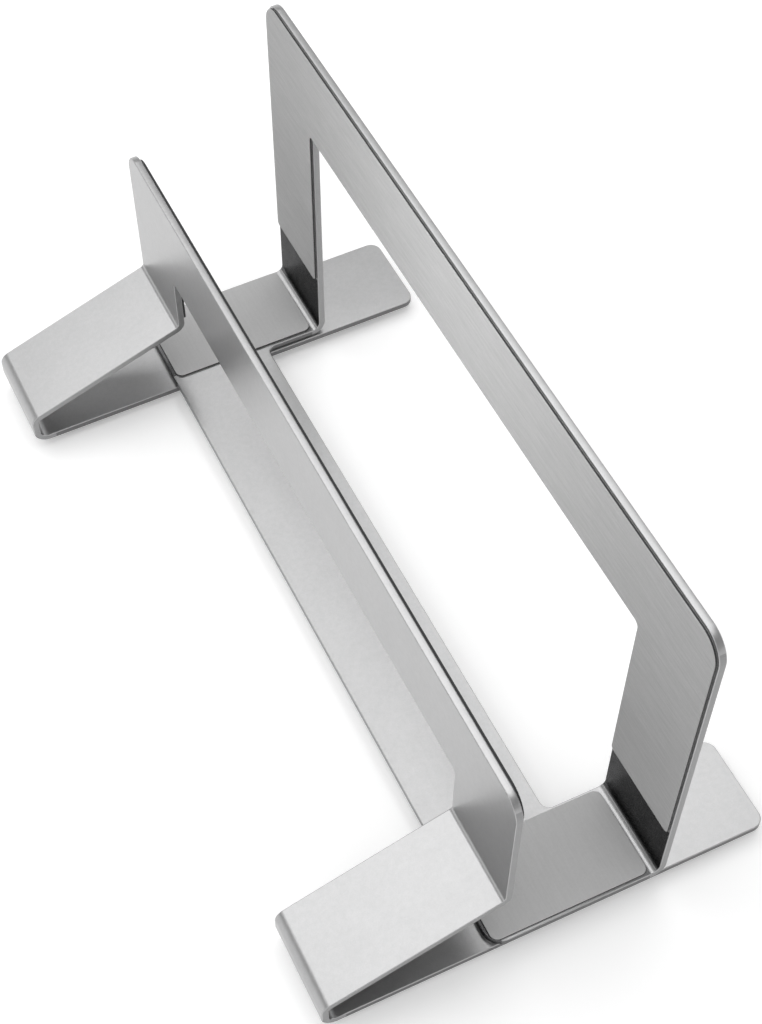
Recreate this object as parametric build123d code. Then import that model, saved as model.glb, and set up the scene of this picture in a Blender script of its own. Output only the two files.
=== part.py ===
from build123d import *

import os
from math import cos, radians, tan

# Vertical laptop stand. Two folded aluminium sheets: the front bracket stands on the desk on two base strips,
# and the rear bracket lies on those strips and slides along them to set the width of the slot between them.
# Millimetres and degrees. +Z is up, +Y runs along the stand, +X from the front panel to the rear arch.
# The origin is on the desk, under the middle of the stand.

# Sheet that both brackets are folded from
sheet = 1.6
leg_width = 21.6
edge_break = 0.2

# Front bracket: panel, two tabs, two sloping legs, the folded front ends, two base strips
front_length = 179.0
base_depth = 98.6
panel_setback = 38.0
panel_height = 57.8
panel_underside = 36.4
panel_corner = 5.0
panel_bend = 1.2
notch_corner = 1.5
leg_angle = 19.3
fold_height = 8.4
fold_top_bend = 1.3
fold_bottom_bend = 2.0
strip_corner = 2.7

# Rear bracket: arch, two feet and the bar that joins them, drawn with the slot at its widest
rear_overhang = 0.5
slot_width = 32.4
slot_travel = 16.0
arch_height = 83.9
arch_corner = 5.7
arch_bend = 1.8
window_corner = 0.9
foot_reach = 37.3
foot_corner = 4.0
bar_width = 23.6
bar_corner = 2.0

# Pads
pad = 0.6
pad_inset = 0.4
pad_corner = 1.0
front_pad_end_inset = 1.0
front_pad_lift = 0.5
rear_pad_lift = 16.5
foot_pad_inset = 0.6
foot_pad_end_inset = 0.8
foot_pad_bend_gap = 0.1
foot_pad_corner = 1.7

# Rubber feet under the base strips
rubber_height = 2.0
rubber_length = 16.0
rubber_width = 16.0
rubber_corner = 3.0
rubber_edge = 0.5
rubber_end_inset = 5.0

# Lock screws, two in each base strip's slot
screw_diameter = 3.0
screw_setback = 6.0
screw_spacing = 9.5
screw_tip_gap = 0.2
thread_clearance = 0.05
head_diameter = 7.0
head_height = 1.2
head_edge = 0.3
hex_across_flats = 2.0
hex_depth = 0.8
slot_clearance = 0.3

# Places worked out from the sizes above
strip_bottom = rubber_height
strip_top = strip_bottom + sheet
foot_top = strip_top + sheet
fold_x = -base_depth / 2
strip_end_x = base_depth / 2
panel_x = fold_x + panel_setback
panel_back_x = panel_x + sheet
panel_top = strip_bottom + panel_height
notch_top = strip_bottom + panel_underside
notch_half = front_length / 2 - leg_width
strip_y = front_length / 2 - leg_width / 2
rear_length = front_length + 2 * rear_overhang
arch_x = panel_back_x + pad + slot_width + pad
arch_top = strip_top + arch_height
window_top = arch_top - leg_width
window_half = rear_length / 2 - leg_width
foot_end_x = arch_x - foot_reach
bar_inner_x = foot_end_x + bar_width
screw_xs = [arch_x - screw_setback, arch_x - screw_setback - screw_spacing]
sides = {"left": 1, "right": -1}

# The legs climb from the folded front ends to the panel
leg_slope = tan(radians(leg_angle))
leg_rise = sheet / cos(radians(leg_angle))
leg_top_at_fold = strip_bottom + fold_height
leg_top_at_panel = leg_top_at_fold + leg_slope * panel_setback
underside_drop = leg_rise - leg_slope * sheet
bend_tangent = panel_bend * tan(radians(90 - leg_angle) / 2)
tab_bottom = leg_top_at_panel + bend_tangent


def folded_sheet(face, face_bends, back, back_bends, length):
    """A sheet bent along lines parallel to Y, from the XZ outlines of its two faces."""
    outline = [
        FilletPolyline(*face, radius=face_bends),
        Line(face[-1], back[-1]),
        FilletPolyline(*back, radius=back_bends),
        Line(back[0], face[0]),
    ]
    section = make_face(Curve() + outline)
    return extrude(Plane.XZ * section, amount=length / 2, both=True)


def sharp_edges(solid):
    """The sheared outline of a folded sheet: edges where two faces meet at an angle and not in a tangent."""
    normals = {}
    for face in solid.faces():
        for edge in face.edges():
            normals.setdefault(edge, []).append(face.normal_at(edge @ 0.5))
    return [edge for edge, pair in normals.items() if pair[0] != pair[-1]]


def front_bracket():
    fold_back_x = fold_x + sheet
    outer_face = [
        (panel_x, panel_top),
        (panel_x, leg_top_at_panel),
        (fold_x, leg_top_at_fold),
        (fold_x, strip_bottom),
        (strip_end_x, strip_bottom),
    ]
    inner_face = [
        (panel_back_x, panel_top),
        (panel_back_x, leg_top_at_panel - underside_drop),
        (fold_back_x, leg_top_at_fold - underside_drop),
        (fold_back_x, strip_top),
        (strip_end_x, strip_top),
    ]
    bracket = folded_sheet(
        outer_face,
        [panel_bend, fold_top_bend + sheet, fold_bottom_bend + sheet],
        inner_face,
        [panel_bend + sheet, fold_top_bend, fold_bottom_bend],
        front_length,
    )
    past_both_ends = 2 * base_depth
    notch = Box(
        past_both_ends, 2 * notch_half, notch_top, align=(Align.CENTER, Align.CENTER, Align.MIN)
    )
    notch = fillet(notch.edges().filter_by(Axis.X).group_by(Axis.Z)[-1], notch_corner)
    bracket -= notch
    bracket = fillet(bracket.edges().filter_by(Axis.X).group_by(Axis.Z)[-1], panel_corner)
    bracket = fillet(bracket.edges().filter_by(Axis.Z).group_by(Axis.X)[-1], strip_corner)
    bracket = chamfer(sharp_edges(bracket), edge_break)
    slot_length = screw_spacing + slot_travel + screw_diameter + 2 * slot_clearance
    slot_middle = (screw_xs[0] + screw_xs[1] - slot_travel) / 2
    slot = extrude(SlotOverall(slot_length, screw_diameter + 2 * slot_clearance), strip_top)
    for side in sides.values():
        bracket -= Pos(slot_middle, side * strip_y) * slot
    return bracket


def rear_bracket():
    arch_back_x = arch_x + sheet
    inner_face = [(foot_end_x, foot_top), (arch_x, foot_top), (arch_x, arch_top)]
    outer_face = [(foot_end_x, strip_top), (arch_back_x, strip_top), (arch_back_x, arch_top)]
    bracket = folded_sheet(inner_face, arch_bend, outer_face, arch_bend + sheet, rear_length)
    past_arch = base_depth
    window = Pos(bar_inner_x) * Box(
        past_arch, 2 * window_half, window_top, align=(Align.MIN, Align.CENTER, Align.MIN)
    )
    window = fillet(window.edges().filter_by(Axis.X).group_by(Axis.Z)[-1], window_corner)
    window = fillet(window.edges().filter_by(Axis.Z).group_by(Axis.X)[0], bar_corner)
    bracket -= window
    bracket = fillet(bracket.edges().filter_by(Axis.X).group_by(Axis.Z)[-1], arch_corner)
    bracket = fillet(bracket.edges().filter_by(Axis.Z).group_by(Axis.X)[0], foot_corner)
    bracket = chamfer(sharp_edges(bracket), edge_break)
    hole = extrude(Circle(screw_diameter / 2 + thread_clearance), foot_top)
    for x, y in screw_places():
        bracket -= Pos(x, y) * hole
    return bracket


def screw_places():
    return [(x, side * strip_y) for side in sides.values() for x in screw_xs]


def upright_pad(x, outline):
    """A pad from an outline in the YZ plane, with its low X face at x."""
    return extrude(Plane.YZ.offset(x) * outline, pad)


def front_pad():
    """Covers the flat of the panel and its tabs, down to just above the bend."""
    top = panel_top - pad_inset
    bottom = tab_bottom + front_pad_lift
    length = front_length - 2 * front_pad_end_inset
    panel = Pos(0, top) * Rectangle(length, top - bottom, align=(Align.CENTER, Align.MAX))
    panel = fillet(panel.vertices().group_by(Axis.Y)[-1], panel_corner)
    notch_half_length = notch_half + pad_inset
    notch_height = notch_top + pad_inset
    notch = Pos(0, notch_height) * Rectangle(
        2 * notch_half_length, notch_height, align=(Align.CENTER, Align.MAX)
    )
    notch = fillet(notch.vertices().group_by(Axis.Y)[-1], notch_corner)
    outline = fillet((panel - notch).vertices().group_by(Axis.Y)[0], pad_corner)
    return upright_pad(panel_back_x, outline)


def rear_pad():
    """Covers the arch and both uprights, down to a bare stretch above the feet."""
    bottom = foot_top + rear_pad_lift - pad_inset
    arch = Pos(0, arch_top) * Rectangle(
        rear_length, arch_top - bottom, align=(Align.CENTER, Align.MAX)
    )
    arch = fillet(arch.vertices().group_by(Axis.Y)[-1], arch_corner)
    window = Pos(0, window_top) * Rectangle(
        2 * window_half, window_top, align=(Align.CENTER, Align.MAX)
    )
    window = fillet(window.vertices().group_by(Axis.Y)[-1], window_corner)
    outline = offset(arch - window, -pad_inset)
    outline = fillet(outline.vertices().group_by(Axis.Y)[0], pad_corner)
    return upright_pad(arch_x - pad, outline)


def foot_pad(side):
    """Lies on one foot, from its free end to just short of the bend at the arch."""
    end_x = arch_x - arch_bend - foot_pad_bend_gap
    length = end_x - foot_end_x - foot_pad_end_inset
    outline = RectangleRounded(length, leg_width - 2 * foot_pad_inset, foot_pad_corner)
    middle_x = end_x - length / 2
    middle_y = side * (rear_length / 2 - leg_width / 2)
    return Pos(middle_x, middle_y, foot_top) * extrude(outline, pad)


def base_foot(x, side):
    """A rubber foot under one end of a base strip."""
    outline = RectangleRounded(rubber_length, rubber_width, rubber_corner)
    foot = extrude(outline, rubber_height)
    foot = chamfer(foot.faces().sort_by(Axis.Z)[0].edges(), rubber_edge)
    return Pos(x, side * strip_y) * foot


def lock_screw():
    """A low-head screw that stands on its head's upper face at Z = 0, with a hexagon socket below."""
    head = Pos(0, 0, -head_height) * extrude(Circle(head_diameter / 2), head_height)
    head = chamfer(head.faces().sort_by(Axis.Z)[0].edges(), head_edge)
    socket = extrude(RegularPolygon(hex_across_flats / 2, 6, major_radius=False), hex_depth)
    shank = extrude(Circle(screw_diameter / 2), 2 * sheet - screw_tip_gap)
    return head - Pos(0, 0, -head_height) * socket + shank


def lock_screws():
    screw = lock_screw()
    return Compound([Pos(x, y, strip_bottom) * screw for x, y in screw_places()])


nodes = {
    "front_bracket": front_bracket(),
    "rear_bracket": rear_bracket(),
    "front_pad": front_pad(),
    "rear_pad": rear_pad(),
    "lock_screws": lock_screws(),
}
# A rear rubber foot sits midway between the lock screws and the end of its strip
rubber_xs = {
    "front": fold_x + rubber_end_inset + rubber_length / 2,
    "rear": (screw_xs[0] + head_diameter / 2 + strip_end_x) / 2,
}
for side_name, side in sides.items():
    nodes[f"foot_pad_{side_name}"] = foot_pad(side)
    for end_name, x in rubber_xs.items():
        nodes[f"base_foot_{end_name}_{side_name}"] = base_foot(x, side)

os.makedirs("parts", exist_ok=True)
for name, solid in nodes.items():
    export_step(solid, f"parts/{name}.step")
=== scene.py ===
from math import cos, pi, radians, sin

import bmesh
import bpy
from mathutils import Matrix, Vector
from mathutils.bvhtree import BVHTree


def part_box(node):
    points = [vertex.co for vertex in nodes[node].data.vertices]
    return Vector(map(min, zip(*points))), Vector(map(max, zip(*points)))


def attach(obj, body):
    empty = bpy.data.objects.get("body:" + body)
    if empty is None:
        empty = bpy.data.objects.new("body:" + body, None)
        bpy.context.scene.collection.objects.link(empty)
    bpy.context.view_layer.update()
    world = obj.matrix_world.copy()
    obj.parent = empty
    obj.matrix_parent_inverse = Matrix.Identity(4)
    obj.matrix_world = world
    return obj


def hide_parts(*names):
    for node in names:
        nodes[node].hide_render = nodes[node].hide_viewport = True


# Vertical laptop stand: two folded aluminium brackets with grey pads, lock screws and rubber feet below.
# The folded sheets and the pads are dressed copies of the CAD solids, the screws and the feet are made here.
# Metres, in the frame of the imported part. Sizes given in millimetres are multiplied by mm.

mm = 0.001

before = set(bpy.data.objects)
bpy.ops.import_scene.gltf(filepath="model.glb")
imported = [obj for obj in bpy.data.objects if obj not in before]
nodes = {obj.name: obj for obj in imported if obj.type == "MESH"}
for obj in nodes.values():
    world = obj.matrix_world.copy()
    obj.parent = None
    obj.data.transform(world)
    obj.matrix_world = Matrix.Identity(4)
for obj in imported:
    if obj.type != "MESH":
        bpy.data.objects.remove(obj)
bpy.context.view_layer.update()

# Camera of the photograph: where it stands, how it is turned, and how the picture is framed
camera_place = (-96.7 * mm, -209.1 * mm, 344.9 * mm)
camera_turn = (33.37, 1.77, -24.78)
camera_lens = 65.76
camera_shift = (0.0752, 0.0876)
camera_sensor = 36
camera_reach = (0.01, 20)

# Light: brightness 1 is white. The studio's walls are white up to one angle above the horizon and fade to the
# ceiling at another. Both softboxes hang level and are turned to the camera's heading, and the two spots
# lift the middle of the arch
wall_brightness = 1.0
wall_angle = 8
ceiling_brightness = 0.43
ceiling_angle = 25
overhead_place = (-0.177, 0.462, 1.0)
overhead_size = (1.59, 1.20)
overhead_brightness = 1.66
fill_place = (-0.901, -0.521, 1.0)
fill_size = (1.2, 0.7)
fill_brightness = 1.3
spot_place = (-0.5, 0.0, 0.33)
spot_aim = (0.023, 0.0, 0.077)
spot_radius = 0.03
wide_spot_cone = 17.6
wide_spot_energy = 4.7
narrow_spot_cone = 8.3
narrow_spot_energy = 4.4

# Floor
floor_glow = 0.22
floor_colour = (0.88, 0.88, 0.88, 1)
floor_half = 3.0
floor_drop = 0.05 * mm

# Finishes: their colours, the size of the blasting's grain in millimetres, and the values that most of a
# noise lies between
blasted_grey = (0.43, 0.43, 0.432)
sheared_grey = (0.31, 0.31, 0.312)
# The low edge grey is painted shade, darkening the cut edges close to the desk
low_edge_shade_grey = (0.17, 0.17, 0.171)
# The next grey is painted shade, for the arch's face below its pad and the feet's free ends under the legs
painted_shade_grey = (0.13, 0.13, 0.132)
upright_film_grey = (0.415, 0.415, 0.415)
# The foot film's grey is painted lighter than the upright film's, for one grey pad, to make up for the shade
# that the panel and the arch cast on the feet
foot_film_lightened_grey = (0.50, 0.50, 0.50)
rubber_black = (0.018, 0.018, 0.019)
screw_grey = (0.42, 0.42, 0.43)
bead_grain = 0.28
noise_low = 0.3
noise_high = 0.7

# Sheets and pads. A face looks up, to the front or to a side if that part of its normal is above the least
# given here. It is one of the sheet's two faces if the other is within that many thicknesses behind it
sheet_thickness = 1.6 * mm
close_behind = 1.5
merge_distance = 0.001 * mm
flat_angle = 0.5
smooth_angle = 60
flat_weight = 100
least_upward = 0.5
least_sideward = 0.5
least_frontward = 0.8
pad_roll = 0.12 * mm
roll_segments = 2

# The front bracket's fold as far as the base strips. How far the painted shade at a foot's free end, under
# its leg, reaches in from the end of its pad, and how far from the pad's inner side it ends: inside it on
# top, outside it on the edge
fold_depth = 5.0 * mm
shade_reach = 1.7 * mm
shade_margin = 1.0 * mm

# Which of a dressed piece's finishes a face has
skin_finish = 0
cut_finish = 1
# Painted shade: the low edge finish darkens the cut edges close to the desk
low_edge_shade_finish = 2
# Painted shade on the arch below its pad and on the feet's free ends under the legs
painted_shade_finish = 3

# Lock screws
head_diameter = 7.0 * mm
head_height = 1.2 * mm
head_edge = 0.3 * mm
shank_diameter = 3.0 * mm
tip_chamfer = 0.3 * mm
socket_across = 2.0 * mm
socket_depth = 0.8 * mm
socket_mouth = 1.3 * mm
mouth_depth = 0.12 * mm

# Rubber feet
foot_corner = 3.0 * mm
foot_edge = 0.5 * mm
least_corner = 0.4 * mm
groove_insets = (1.6 * mm, 3.2 * mm, 4.8 * mm)
groove_width = 0.6 * mm
groove_depth = 0.25 * mm
groove_wall = 0.1 * mm

# How finely the turned and moulded pieces are divided
ring_points = 48
arc_steps = 4
crisp_angle = 35


class Finish:
    """A material in the making. Its patterns read Object coordinates in millimetres."""

    def __init__(self, name):
        self.material = bpy.data.materials.new(name)
        self.material.use_nodes = True
        self.tree = self.material.node_tree
        self.shader = self.tree.nodes["Principled BSDF"]
        place = self.tree.nodes.new("ShaderNodeTexCoord")
        self.millimetres = self.add("ShaderNodeVectorMath", operation="SCALE")
        self.millimetres.inputs["Scale"].default_value = 1 / mm
        self.link(place.outputs["Object"], self.millimetres.inputs[0])
        self.normal = None

    def add(self, kind, **settings):
        node = self.tree.nodes.new(kind)
        for name, value in settings.items():
            setattr(node, name, value)
        return node

    def link(self, source, target):
        self.tree.links.new(source, target)

    def set(self, **values):
        """Sets sockets of the shader, by name with underscores for spaces."""
        for name, value in values.items():
            self.shader.inputs[name.replace("_", " ")].default_value = value

    def noise(self, grain, stretch=(1, 1, 1), detail=2):
        """Noise with lumps of about that size in millimetres, drawn out along the axes by stretch."""
        squeeze = self.add("ShaderNodeVectorMath", operation="DIVIDE")
        squeeze.inputs[1].default_value = stretch
        self.link(self.millimetres.outputs["Vector"], squeeze.inputs[0])
        noise = self.add("ShaderNodeTexNoise")
        noise.inputs["Scale"].default_value = 1 / grain
        noise.inputs["Detail"].default_value = detail
        self.link(squeeze.outputs["Vector"], noise.inputs["Vector"])
        return noise.outputs["Fac"]

    def between(self, value, low, high):
        """Spreads the middle of a noise over the range from low to high."""
        spread = self.add("ShaderNodeMapRange")
        spread.inputs["From Min"].default_value = noise_low
        spread.inputs["From Max"].default_value = noise_high
        spread.inputs["To Min"].default_value = low
        spread.inputs["To Max"].default_value = high
        self.link(value, spread.inputs["Value"])
        return spread.outputs["Result"]

    def tint(self, colour, *shades):
        """Colours the shader, each shade being a factor that varies over the surface."""
        tinted = self.add("ShaderNodeVectorMath", operation="SCALE")
        tinted.inputs[0].default_value = colour
        self.link(shades[0], tinted.inputs["Scale"])
        for shade in shades[1:]:
            deeper = self.add("ShaderNodeVectorMath", operation="SCALE")
            self.link(tinted.outputs["Vector"], deeper.inputs[0])
            self.link(shade, deeper.inputs["Scale"])
            tinted = deeper
        self.link(tinted.outputs["Vector"], self.shader.inputs["Base Color"])

    def roughen(self, value):
        self.link(value, self.shader.inputs["Roughness"])

    def bump(self, height, depth, strength):
        """Adds relief of that depth in millimetres, over any that is there."""
        bump = self.add("ShaderNodeBump")
        bump.inputs["Distance"].default_value = depth * mm
        bump.inputs["Strength"].default_value = strength
        self.link(height, bump.inputs["Height"])
        if self.normal:
            self.link(self.normal, bump.inputs["Normal"])
        self.normal = bump.outputs["Normal"]
        self.link(self.normal, self.shader.inputs["Normal"])


def blasted_aluminium():
    """Anodised sheet, bead blasted to a fine even sparkle."""
    finish = Finish("blasted_aluminium")
    finish.set(Metallic=1.0)
    beads = finish.noise(bead_grain)
    mottle = finish.noise(grain=1.1, detail=3)
    clouds = finish.noise(grain=9.0, detail=3)
    finish.tint(
        blasted_grey,
        finish.between(beads, low=0.96, high=1.04),
        finish.between(mottle, low=0.97, high=1.03),
        finish.between(clouds, low=0.985, high=1.015),
    )
    finish.roughen(finish.between(beads, low=0.31, high=0.39))
    finish.bump(beads, depth=0.02, strength=0.35)
    return finish.material


def sheared_aluminium(name, grey):
    """The cut edge of the sheet, duller than its faces, with marks along the cut."""
    finish = Finish(name)
    finish.set(Metallic=1.0)
    marks = finish.noise(grain=0.2, stretch=(6, 6, 1), detail=3)
    finish.tint(grey, finish.between(marks, low=0.92, high=1.08))
    finish.roughen(finish.between(marks, low=0.42, high=0.52))
    finish.bump(marks, depth=0.02, strength=0.3)
    return finish.material


def shade_painted_aluminium():
    """Painted shade on the sheet: a dark finish where shade falls, on the arch below its pad and at the free
    ends of the feet under the legs.
    """
    finish = Finish("shade_painted_aluminium")
    finish.set(Metallic=1.0, Specular_Tint=(0.4, 0.4, 0.4, 1))
    beads = finish.noise(bead_grain)
    # Patches in the tone of the painted shade
    shading = finish.noise(grain=3.0, detail=3)
    finish.tint(
        painted_shade_grey,
        finish.between(beads, low=0.95, high=1.05),
        finish.between(shading, low=0.9, high=1.1),
    )
    finish.roughen(finish.between(beads, low=0.24, high=0.32))
    finish.bump(beads, depth=0.015, strength=0.3)
    return finish.material


def grey_film(name, grey, streak):
    """The grey face of a pad, with fine streaks along the stand that lighten and darken it by that share."""
    finish = Finish(name)
    finish.set(Specular_IOR_Level=0.1)
    streaks = finish.noise(grain=0.3, stretch=(1, 22, 1), detail=3)
    mottle = finish.noise(grain=0.5)
    finish.tint(
        grey,
        finish.between(streaks, low=1 - streak, high=1 + streak),
        finish.between(mottle, low=0.98, high=1.02),
    )
    finish.roughen(finish.between(streaks, low=0.6, high=0.7))
    finish.bump(streaks, depth=0.02, strength=2 * streak)
    finish.bump(mottle, depth=0.01, strength=0.2)
    return finish.material


def black_rubber():
    """The dark rubber of the pads' cut edges and of the feet."""
    finish = Finish("black_rubber")
    pores = finish.noise(grain=0.22, detail=3)
    finish.tint(rubber_black, finish.between(pores, low=0.8, high=1.25))
    finish.roughen(finish.between(pores, low=0.55, high=0.7))
    finish.bump(pores, depth=0.03, strength=0.4)
    return finish.material


def screw_steel():
    """Bright steel of the lock screws."""
    finish = Finish("screw_steel")
    finish.set(Metallic=1.0)
    pits = finish.noise(grain=0.15, detail=3)
    finish.tint(screw_grey, finish.between(pits, low=0.92, high=1.08))
    finish.roughen(finish.between(pits, low=0.26, high=0.36))
    finish.bump(pits, depth=0.008, strength=0.3)
    return finish.material


def new_object(name, data):
    made = bpy.data.objects.new(name, data)
    bpy.context.scene.collection.objects.link(made)
    return made


def dressed_copy(node, name, finishes, thickness):
    """A smooth-shaded copy of a sheet-like node. What has the sheet's other face close behind it gets the
    skin finish, and the cut edges their own."""
    mesh = nodes[node].data.copy()
    mesh.name = name
    mesh.materials.clear()
    for finish in finishes:
        mesh.materials.append(finish)
    shape = bmesh.new()
    shape.from_mesh(mesh)
    bmesh.ops.remove_doubles(shape, verts=shape.verts, dist=merge_distance)
    shape.normal_update()
    inside = BVHTree.FromBMesh(shape)
    for face in shape.faces:
        start = face.calc_center_median() - face.normal * merge_distance
        depth = inside.ray_cast(start, -face.normal)[3]
        on_sheet = depth is not None and depth < close_behind * thickness
        face.material_index = skin_finish if on_sheet else cut_finish
        face.smooth = True
    bmesh.ops.dissolve_limit(
        shape, angle_limit=radians(flat_angle), verts=shape.verts, edges=shape.edges, delimit={"MATERIAL"}
    )
    shape.to_mesh(mesh)
    shape.free()
    mesh.set_sharp_from_angle(angle=radians(smooth_angle))
    return new_object(name, mesh)


def flatten_shading(piece):
    """Keeps the large flats flat, so that only the narrow edge breaks shade round."""
    modifier = piece.modifiers.new("flat_faces", "WEIGHTED_NORMAL")
    modifier.mode = "FACE_AREA"
    modifier.weight = flat_weight
    modifier.keep_sharp = True


def place_on(piece, body, slot, *replaced):
    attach(piece, body)
    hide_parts(*replaced)


def looks_up(face):
    return face.normal.z > least_upward


def looks_out(face):
    """Whether a face looks neither up nor down."""
    return abs(face.normal.z) < least_upward


def looks_sideways(face):
    return abs(face.normal.y) > least_sideward


def split(shape, chosen, place, direction):
    """Splits the chosen faces along the plane through a place and square to a direction."""
    faces = [face for face in shape.faces if chosen(face)]
    edges = {edge for face in faces for edge in face.edges}
    points = {point for face in faces for point in face.verts}
    bmesh.ops.bisect_plane(
        shape, geom=[*faces, *edges, *points], dist=merge_distance, plane_co=place, plane_no=direction
    )


def finish_edges(shape, low_edge_end):
    """Gives the cut edges that face up the skin finish, painted light where light falls on their tops, and
    paints shade on the sides that lie close to the desk. The shaded sides end where the sheet rises from it."""
    pad_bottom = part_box("foot_pad_left")[0][2]
    split(shape, looks_sideways, (low_edge_end, 0, 0), (1, 0, 0))
    for face in shape.faces:
        # Cut edges that face up get the lighter skin finish: painted light on their tops
        if looks_up(face):
            face.material_index = skin_finish
        # The sides close to the desk get painted shade
        elif looks_sideways(face) and face.calc_center_median().z < pad_bottom:
            face.material_index = low_edge_shade_finish


def shade_arch(shape):
    """Paints shade on the arch's inner face from the rear pad's lower edge down into the bend."""
    low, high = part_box("rear_pad")

    def inward(face):
        in_arch = face.calc_center_median().x > high[0] - sheet_thickness
        return in_arch and -face.normal.x > least_frontward

    split(shape, inward, (0, 0, low[2]), (0, 0, 1))
    for face in shape.faces:
        if inward(face) and face.calc_center_median().z < low[2]:
            face.material_index = painted_shade_finish


def shade_ends(shape, chosen, inner_side):
    """Paints shade on the chosen faces at both feet's free ends, from the outer side in to the inner one."""
    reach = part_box("foot_pad_left")[0][0] + shade_reach

    def at_end(face):
        return chosen(face) and face.calc_center_median().x < reach

    split(shape, chosen, (reach, 0, 0), (1, 0, 0))
    for side in (inner_side, -inner_side):
        split(shape, at_end, (0, side, 0), (0, 1, 0))
    for face in shape.faces:
        if at_end(face) and abs(face.calc_center_median().y) > inner_side:
            face.material_index = painted_shade_finish


def shade_free_ends(shape):
    """Paints shade on the feet's free ends under the legs, and on what shows of their tops past the pads."""
    inner_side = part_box("foot_pad_left")[0][1]
    shade_ends(shape, looks_up, inner_side + shade_margin)
    shade_ends(shape, looks_out, inner_side - shade_margin)


def bracket(body, finishes, low_edge_end, *shadings):
    """One folded sheet with its finishes, in the order of their numbers, and the places where shade is
    painted on it.
    """
    node = f"{body}_bracket"
    piece = dressed_copy(node, f"{body}_sheet", finishes, sheet_thickness)
    shape = bmesh.new()
    shape.from_mesh(piece.data)
    finish_edges(shape, low_edge_end)
    for shading in shadings:
        shading(shape)
    shape.to_mesh(piece.data)
    shape.free()
    flatten_shading(piece)
    place_on(piece, body, "aluminium_sheet", node)


def pad(node, body, finishes, wrapped):
    """A pad with rolled edges, which its skin wraps or leaves bare."""
    low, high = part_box(node)
    thickness = min(high - low)
    piece = dressed_copy(node, f"{node}_skin", finishes, thickness)
    roll = piece.modifiers.new("rolled_edge", "BEVEL")
    roll.width = pad_roll
    roll.material = skin_finish if wrapped else cut_finish
    roll.segments = roll_segments
    roll.limit_method = "ANGLE"
    flatten_shading(piece)
    place_on(piece, body, "grey_pad", node)


def round_ring(radius, height):
    angles = [2 * pi * i / ring_points for i in range(ring_points)]
    return [(radius * cos(angle), radius * sin(angle), height) for angle in angles]


def hexagon_ring(across_flats, height):
    """A hexagon with its points at the same angles as those of a round ring."""
    ring = []
    for x, y, z in round_ring(1, height):
        to_flat = max(abs(x * cos(turn) + y * sin(turn)) for turn in (0, pi / 3, 2 * pi / 3))
        radius = across_flats / 2 / to_flat
        ring.append((radius * x, radius * y, z))
    return ring


def square_ring(half, corner, inset, height):
    """A rounded square, drawn in by inset from its full outline."""
    radius = max(corner - inset, least_corner)
    reach = half - inset - radius
    steps = ring_points // 4 - 1
    ring = []
    for quarter, (side_x, side_y) in enumerate(((1, 1), (-1, 1), (-1, -1), (1, -1))):
        for step in range(steps + 1):
            angle = (quarter + step / steps) * pi / 2
            ring.append((side_x * reach + radius * cos(angle), side_y * reach + radius * sin(angle), height))
    return ring


def quarter_turn(radius):
    """Steps round an edge from a flat to a side: how far in from the side, and how far up from the flat."""
    angles = [pi / 2 * i / arc_steps for i in range(arc_steps + 1)]
    return [(radius * (1 - sin(angle)), radius * (1 - cos(angle))) for angle in angles]


def shell_over(name, rings):
    """A closed shell over a stack of rings that have as many points each."""
    shape = bmesh.new()
    loops = [[shape.verts.new(point) for point in ring] for ring in rings]
    for lower, upper in zip(loops, loops[1:]):
        for i in range(ring_points):
            j = (i + 1) % ring_points
            shape.faces.new((lower[i], lower[j], upper[j], upper[i]))
    shape.faces.new(loops[0])
    shape.faces.new(loops[-1])
    bmesh.ops.recalc_face_normals(shape, faces=shape.faces)
    for face in shape.faces:
        face.smooth = True
    mesh = bpy.data.meshes.new(name)
    shape.to_mesh(mesh)
    shape.free()
    mesh.set_sharp_from_angle(angle=radians(crisp_angle))
    return mesh


def lock_screw(bottom, tip):
    """A low-headed screw with a hexagon socket in the underside of its head."""
    head_top = bottom + head_height
    head_radius = head_diameter / 2
    shank_radius = shank_diameter / 2
    rings = [
        hexagon_ring(socket_across, bottom + socket_depth),
        hexagon_ring(socket_across, bottom + mouth_depth),
        round_ring(socket_mouth, bottom),
    ]
    rings += [round_ring(head_radius - inset, bottom + rise) for inset, rise in quarter_turn(head_edge)]
    rings += [
        round_ring(head_radius, head_top),
        round_ring(shank_radius, head_top),
        round_ring(shank_radius, tip - tip_chamfer),
        round_ring(shank_radius - tip_chamfer, tip),
    ]
    return shell_over("lock_screw", rings)


def rubber_foot(width, height):
    """A moulded foot with a rounded lower edge and three grooves round its sole."""
    half = width / 2

    def outline(inset, rise):
        return square_ring(half, foot_corner, inset, rise)

    rings = [outline(0, height)]
    rings += [outline(inset, rise) for inset, rise in reversed(quarter_turn(foot_edge))]
    for inset in groove_insets:
        rings += [
            outline(inset, 0),
            outline(inset + groove_wall, groove_depth),
            outline(inset + groove_width - groove_wall, groove_depth),
            outline(inset + groove_width, 0),
        ]
    return shell_over("rubber_foot", rings)


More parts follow.
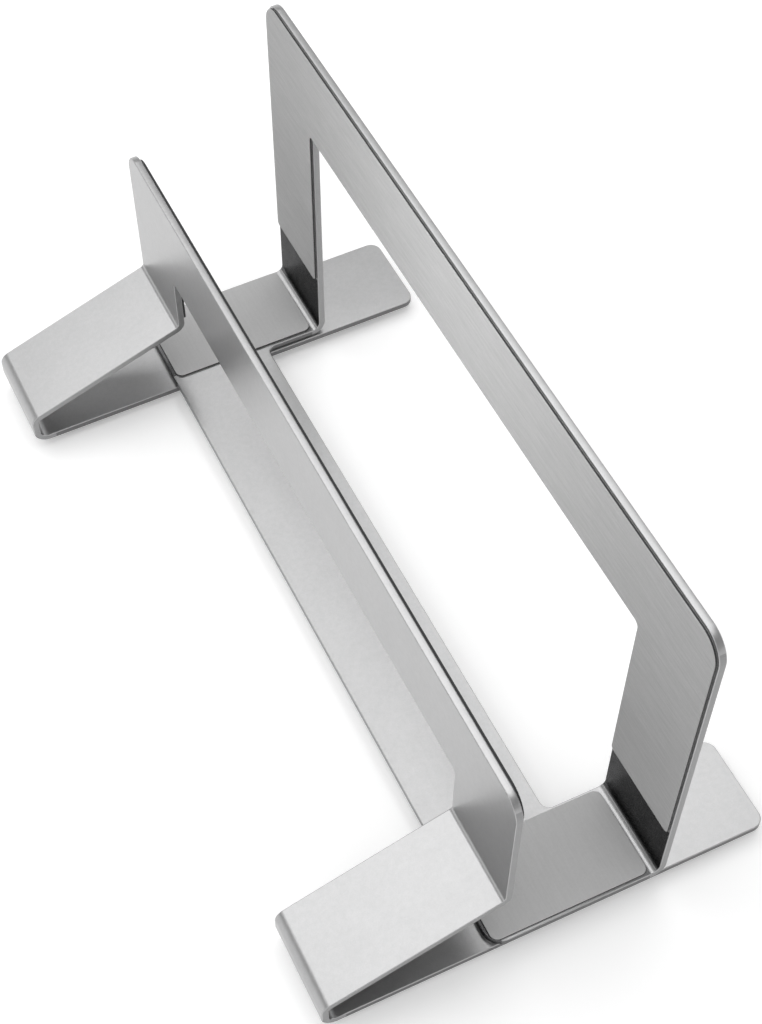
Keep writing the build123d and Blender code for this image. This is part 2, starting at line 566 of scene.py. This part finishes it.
def four_of_a_kind():
    """Geometry nodes that set the piece they are given on the four corners of a rectangle."""
    tree = bpy.data.node_groups.new("four_of_a_kind", "GeometryNodeTree")
    sockets = [
        ("Piece", "NodeSocketGeometry"),
        ("Along X", "NodeSocketFloat"),
        ("Along Y", "NodeSocketFloat"),
        ("Middle", "NodeSocketVector"),
        ("Finish", "NodeSocketMaterial"),
    ]
    for name, kind in sockets:
        tree.interface.new_socket(name, in_out="INPUT", socket_type=kind)
    tree.interface.new_socket("Set", in_out="OUTPUT", socket_type="NodeSocketGeometry")
    given = tree.nodes.new("NodeGroupInput")
    corners = tree.nodes.new("GeometryNodeMeshGrid")
    corners.inputs["Vertices X"].default_value = 2
    corners.inputs["Vertices Y"].default_value = 2
    moved = tree.nodes.new("GeometryNodeTransform")
    repeated = tree.nodes.new("GeometryNodeInstanceOnPoints")
    realized = tree.nodes.new("GeometryNodeRealizeInstances")
    finished = tree.nodes.new("GeometryNodeSetMaterial")
    result = tree.nodes.new("NodeGroupOutput")
    links = [
        (given.outputs["Along X"], corners.inputs["Size X"]),
        (given.outputs["Along Y"], corners.inputs["Size Y"]),
        (corners.outputs["Mesh"], moved.inputs["Geometry"]),
        (given.outputs["Middle"], moved.inputs["Translation"]),
        (moved.outputs["Geometry"], repeated.inputs["Points"]),
        (given.outputs["Piece"], repeated.inputs["Instance"]),
        (repeated.outputs["Instances"], realized.inputs["Geometry"]),
        (realized.outputs["Geometry"], finished.inputs["Geometry"]),
        (given.outputs["Finish"], finished.inputs["Material"]),
        (finished.outputs["Geometry"], result.inputs["Set"]),
    ]
    for source, target in links:
        tree.links.new(source, target)
    return tree


def set_of_four(tree, name, one, low, high, size, finish):
    """Four of one piece, with their outlines of that size at the corners of the box from low to high."""
    maker = new_object(f"{name}_maker", one)
    modifier = maker.modifiers.new("four", "NODES")
    modifier.node_group = tree
    middle = (low + high) / 2
    values = {
        "Along X": high.x - low.x - size,
        "Along Y": high.y - low.y - size,
        "Middle": (middle.x, middle.y, 0),
        "Finish": finish,
    }
    for socket in tree.interface.items_tree:
        if socket.name in values:
            modifier[socket.identifier] = values[socket.name]
    evaluated = maker.evaluated_get(bpy.context.evaluated_depsgraph_get())
    mesh = bpy.data.meshes.new_from_object(evaluated)
    bpy.data.objects.remove(maker)
    return new_object(name, mesh)


def lock_screws(tree, finish):
    low, high = (Vector(corner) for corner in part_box("lock_screws"))
    screw = lock_screw(low.z, high.z)
    piece = set_of_four(tree, "lock_screw_set", screw, low, high, head_diameter, finish)
    place_on(piece, "rear", "screw_steel", "lock_screws")


def rubber_feet(tree, finish):
    names = [f"base_foot_{end}_{side}" for end in ("front", "rear") for side in ("left", "right")]
    low = Vector(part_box("base_foot_front_right")[0])
    high = Vector(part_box("base_foot_rear_left")[1])
    width = high.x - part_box("base_foot_rear_left")[0][0]
    piece = set_of_four(tree, "rubber_foot_set", rubber_foot(width, high.z), low, high, width, finish)
    place_on(piece, "front", "black_rubber", *names)


def floor_finish():
    """Pale floor that is white to the camera and in reflections, and still takes the shadow."""
    material = bpy.data.materials.new("pale_floor")
    material.use_nodes = True
    tree = material.node_tree
    shader = tree.nodes["Principled BSDF"]
    shader.inputs["Base Color"].default_value = floor_colour
    shader.inputs["Roughness"].default_value = 1.0
    shader.inputs["Specular IOR Level"].default_value = 0.0
    shader.inputs["Emission Color"].default_value = (1, 1, 1, 1)
    path = tree.nodes.new("ShaderNodeLightPath")
    seen = path.outputs["Is Camera Ray"]
    for kind in ("Is Glossy Ray", "Is Transmission Ray"):
        either = tree.nodes.new("ShaderNodeMath")
        either.operation = "MAXIMUM"
        tree.links.new(seen, either.inputs[0])
        tree.links.new(path.outputs[kind], either.inputs[1])
        seen = either.outputs["Value"]
    glow = tree.nodes.new("ShaderNodeMath")
    glow.operation = "MULTIPLY"
    glow.inputs[1].default_value = floor_glow
    tree.links.new(seen, glow.inputs[0])
    tree.links.new(glow.outputs["Value"], shader.inputs["Emission Strength"])
    return material


def floor():
    corners = [(-1, -1), (1, -1), (1, 1), (-1, 1)]
    mesh = bpy.data.meshes.new("floor")
    mesh.from_pydata([(x * floor_half, y * floor_half, -floor_drop) for x, y in corners], [], [(0, 1, 2, 3)])
    mesh.materials.append(floor_finish())
    new_object("floor", mesh)


def softbox(name, place, size, brightness):
    """A large lamp that faces down. Its brightness is what a mirror would show of it."""
    lamp = bpy.data.lights.new(name, "AREA")
    lamp.shape = "RECTANGLE"
    lamp.size, lamp.size_y = size
    lamp.energy = brightness * pi * lamp.size * lamp.size_y
    holder = new_object(name, lamp)
    holder.location = place
    holder.rotation_euler = (0, 0, radians(camera_turn[2]))


def arch_spot(name, cone, energy):
    """A soft-edged spot on the middle of the arch."""
    lamp = bpy.data.lights.new(name, "SPOT")
    lamp.energy = energy
    lamp.spot_size = radians(cone)
    lamp.spot_blend = 1.0
    lamp.shadow_soft_size = spot_radius
    holder = new_object(name, lamp)
    holder.location = spot_place
    holder.rotation_euler = (Vector(spot_aim) - Vector(spot_place)).to_track_quat("-Z", "Y").to_euler()


def studio_room():
    """Pale walls that fade into a greyer ceiling."""
    world = bpy.data.worlds.new("studio_room")
    bpy.context.scene.world = world
    world.use_nodes = True
    tree = world.node_tree
    direction = tree.nodes.new("ShaderNodeTexCoord")
    parts = tree.nodes.new("ShaderNodeSeparateXYZ")
    fade = tree.nodes.new("ShaderNodeMapRange")
    fade.interpolation_type = "SMOOTHSTEP"
    fade.inputs["From Min"].default_value = sin(radians(wall_angle))
    fade.inputs["From Max"].default_value = sin(radians(ceiling_angle))
    fade.inputs["To Min"].default_value = wall_brightness
    fade.inputs["To Max"].default_value = ceiling_brightness
    background = tree.nodes["Background"]
    background.inputs["Color"].default_value = (1, 1, 1, 1)
    tree.links.new(direction.outputs["Generated"], parts.inputs["Vector"])
    tree.links.new(parts.outputs["Z"], fade.inputs["Value"])
    tree.links.new(fade.outputs["Result"], background.inputs["Strength"])


def studio():
    studio_room()
    softbox("overhead", overhead_place, overhead_size, overhead_brightness)
    softbox("fill", fill_place, fill_size, fill_brightness)
    arch_spot("wide_spot", wide_spot_cone, wide_spot_energy)
    arch_spot("narrow_spot", narrow_spot_cone, narrow_spot_energy)
    bpy.context.scene.view_settings.view_transform = "Standard"


def camera():
    view = bpy.data.cameras.new("photo_camera")
    view.lens = camera_lens
    view.sensor_width = camera_sensor
    view.shift_x, view.shift_y = camera_shift
    view.clip_start, view.clip_end = camera_reach
    holder = new_object("photo_camera", view)
    holder.location = camera_place
    holder.rotation_euler = [radians(angle) for angle in camera_turn]
    bpy.context.scene.camera = holder


rubber = black_rubber()
sheet_finishes = [
    blasted_aluminium(),
    sheared_aluminium("sheared_aluminium", sheared_grey),
    sheared_aluminium("low_edge_shade_aluminium", low_edge_shade_grey),
]
upright_finishes = [grey_film("upright_film", upright_film_grey, streak=0.08), rubber]
foot_finishes = [grey_film("foot_film", foot_film_lightened_grey, streak=0.025), rubber]
fold_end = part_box("front_bracket")[0][0] + fold_depth
foot_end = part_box("foot_pad_left")[1][0]

bracket("front", sheet_finishes, fold_end)
# The rear sheet gets painted shade on its arch below the pad and at its feet's free ends
bracket("rear", [*sheet_finishes, shade_painted_aluminium()], foot_end, shade_arch, shade_free_ends)
pad("front_pad", "front", upright_finishes, wrapped=False)
pad("rear_pad", "rear", upright_finishes, wrapped=True)
for side in ("left", "right"):
    pad(f"foot_pad_{side}", "rear", foot_finishes, wrapped=True)

four = four_of_a_kind()
lock_screws(four, screw_steel())
rubber_feet(four, rubber)

floor()
studio()
camera()
